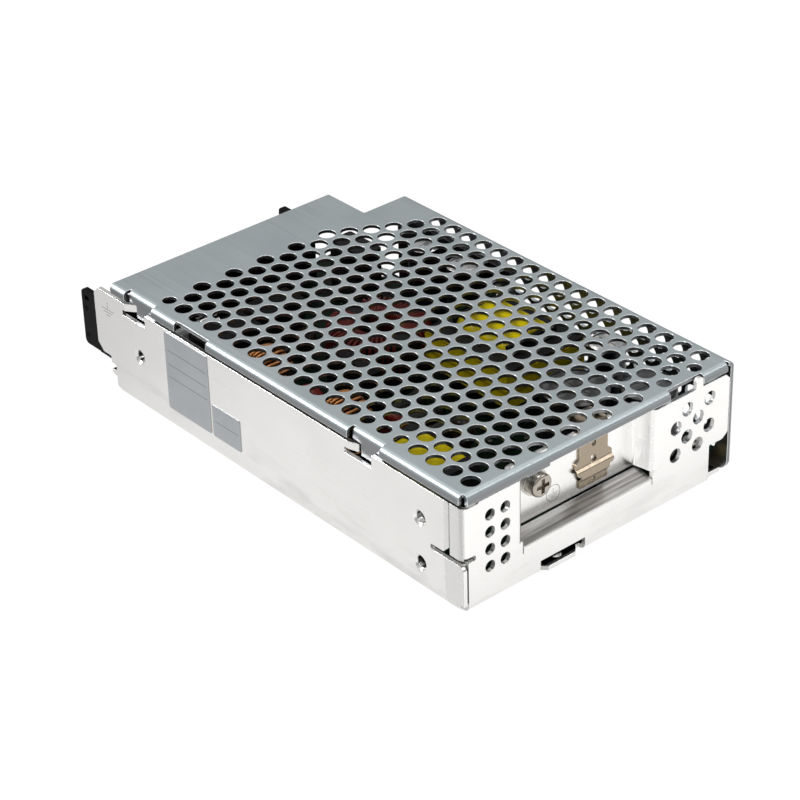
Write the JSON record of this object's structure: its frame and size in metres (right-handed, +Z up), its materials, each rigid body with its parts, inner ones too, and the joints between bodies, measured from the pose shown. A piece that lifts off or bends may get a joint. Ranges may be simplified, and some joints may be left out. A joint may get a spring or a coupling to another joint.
{
  "type": "mesh case switching power supply",
  "caption": "Low box-shaped power supply: folded sheet chassis, perforated cover, barrier terminal block at one end and a populated circuit board inside.",
  "frame": {"origin": "middle of the case's underside", "axes": "+X along the length towards the end wall with the pocket, +Y towards the cover's long wall, +Z up"},
  "size_m": [0.159, 0.0931, 0.034],
  "materials": {
    "chassis_metal": "bright rolled sheet, fine scratches",
    "cover_metal": "zinc-coated sheet, blue-grey, satin",
    "screw_metal": "zinc plated",
    "clip_bronze": "spring bronze, satin",
    "grey_pad": "soft matt sheet",
    "black_moulding": "epoxy moulding",
    "silver_label": "blank silver-grey label",
    "green_board": "glass laminate with green mask",
    "black_film": "smooth black film",
    "brass_fitting": "turned brass",
    "black_terminal": "moulded terminal block, satin",
    "contact_metal": "tinned",
    "ferrite": "dull grey ferrite",
    "yellow_tape": "wrapped polyester tape",
    "dark_red_wire": "enamelled wire",
    "copper_wire": "enamelled copper wire",
    "grey_can": "sleeved can with bare top",
    "silver_can": "sleeved can with bare top",
    "dark_box": "moulded box",
    "dark_dip": "dipped ceramic disc",
    "dark_red_dip": "dipped ceramic disc",
    "fuse_glass": "glass tube with metal caps",
    "black_aluminium": "black anodised plate",
    "grey_ceramic": "cement-coated body",
    "blue_moulding": "moulded body",
    "white_moulding": "moulded rotor",
    "green_lens": "tinted lens"
  },
  "bodies": {
    "case": {"chassis": "chassis_metal", "cover": "cover_metal", "cover_screws": "screw_metal", "earth_screw": "screw_metal", "earth_spring_washer": "screw_metal", "earth_flat_washer": "screw_metal", "spring_clip": "clip_bronze", "thermal_pad": "grey_pad", "clamped_transistor": "black_moulding", "large_label": "silver_label", "small_label": "silver_label", "circuit_board": "green_board", "insulating_film": "black_film", "board_standoffs": "brass_fitting", "board_screws": "screw_metal", "terminal_block": "black_terminal", "terminal_contacts": "contact_metal", "terminal_washers": "contact_metal", "terminal_screws": "screw_metal", "transformer_core": "ferrite", "transformer_bobbin": "black_moulding", "transformer_winding": "yellow_tape", "transformer_tape": "yellow_tape", "coil_caps": "ferrite", "coil_winding": "yellow_tape", "ring_choke_core": "ferrite", "ring_choke_winding": "dark_red_wire", "ring_choke_base": "black_moulding", "line_choke_cores": "ferrite", "line_choke_windings": "copper_wire", "line_choke_bases": "black_moulding", "bulk_capacitors": "grey_can", "output_capacitors": "silver_can", "film_capacitors": "dark_box", "disc_capacitors": "dark_dip", "varistor": "dark_red_dip", "thermistor": "dark_red_dip", "fuse": "fuse_glass", "fuse_clips": "contact_metal", "bridge_rectifier": "black_moulding", "heatsink": "black_aluminium", "output_diodes": "black_moulding", "heatsink_screws": "screw_metal", "control_board": "green_board", "control_chips": "black_moulding", "optocouplers": "black_moulding", "power_resistors": "grey_ceramic", "adjuster_body": "blue_moulding", "indicator_light": "green_lens"},
    "adjuster": {"adjuster_rotor": "white_moulding"}
  },
  "joints": [
    {"name": "adjuster_turn", "type": "hinge", "parent": "case", "child": "adjuster", "pos_m": [-0.0575, 0.037, 0.013], "axis": [0, 0, 1], "range_deg": [-130, 130]}
  ]
}
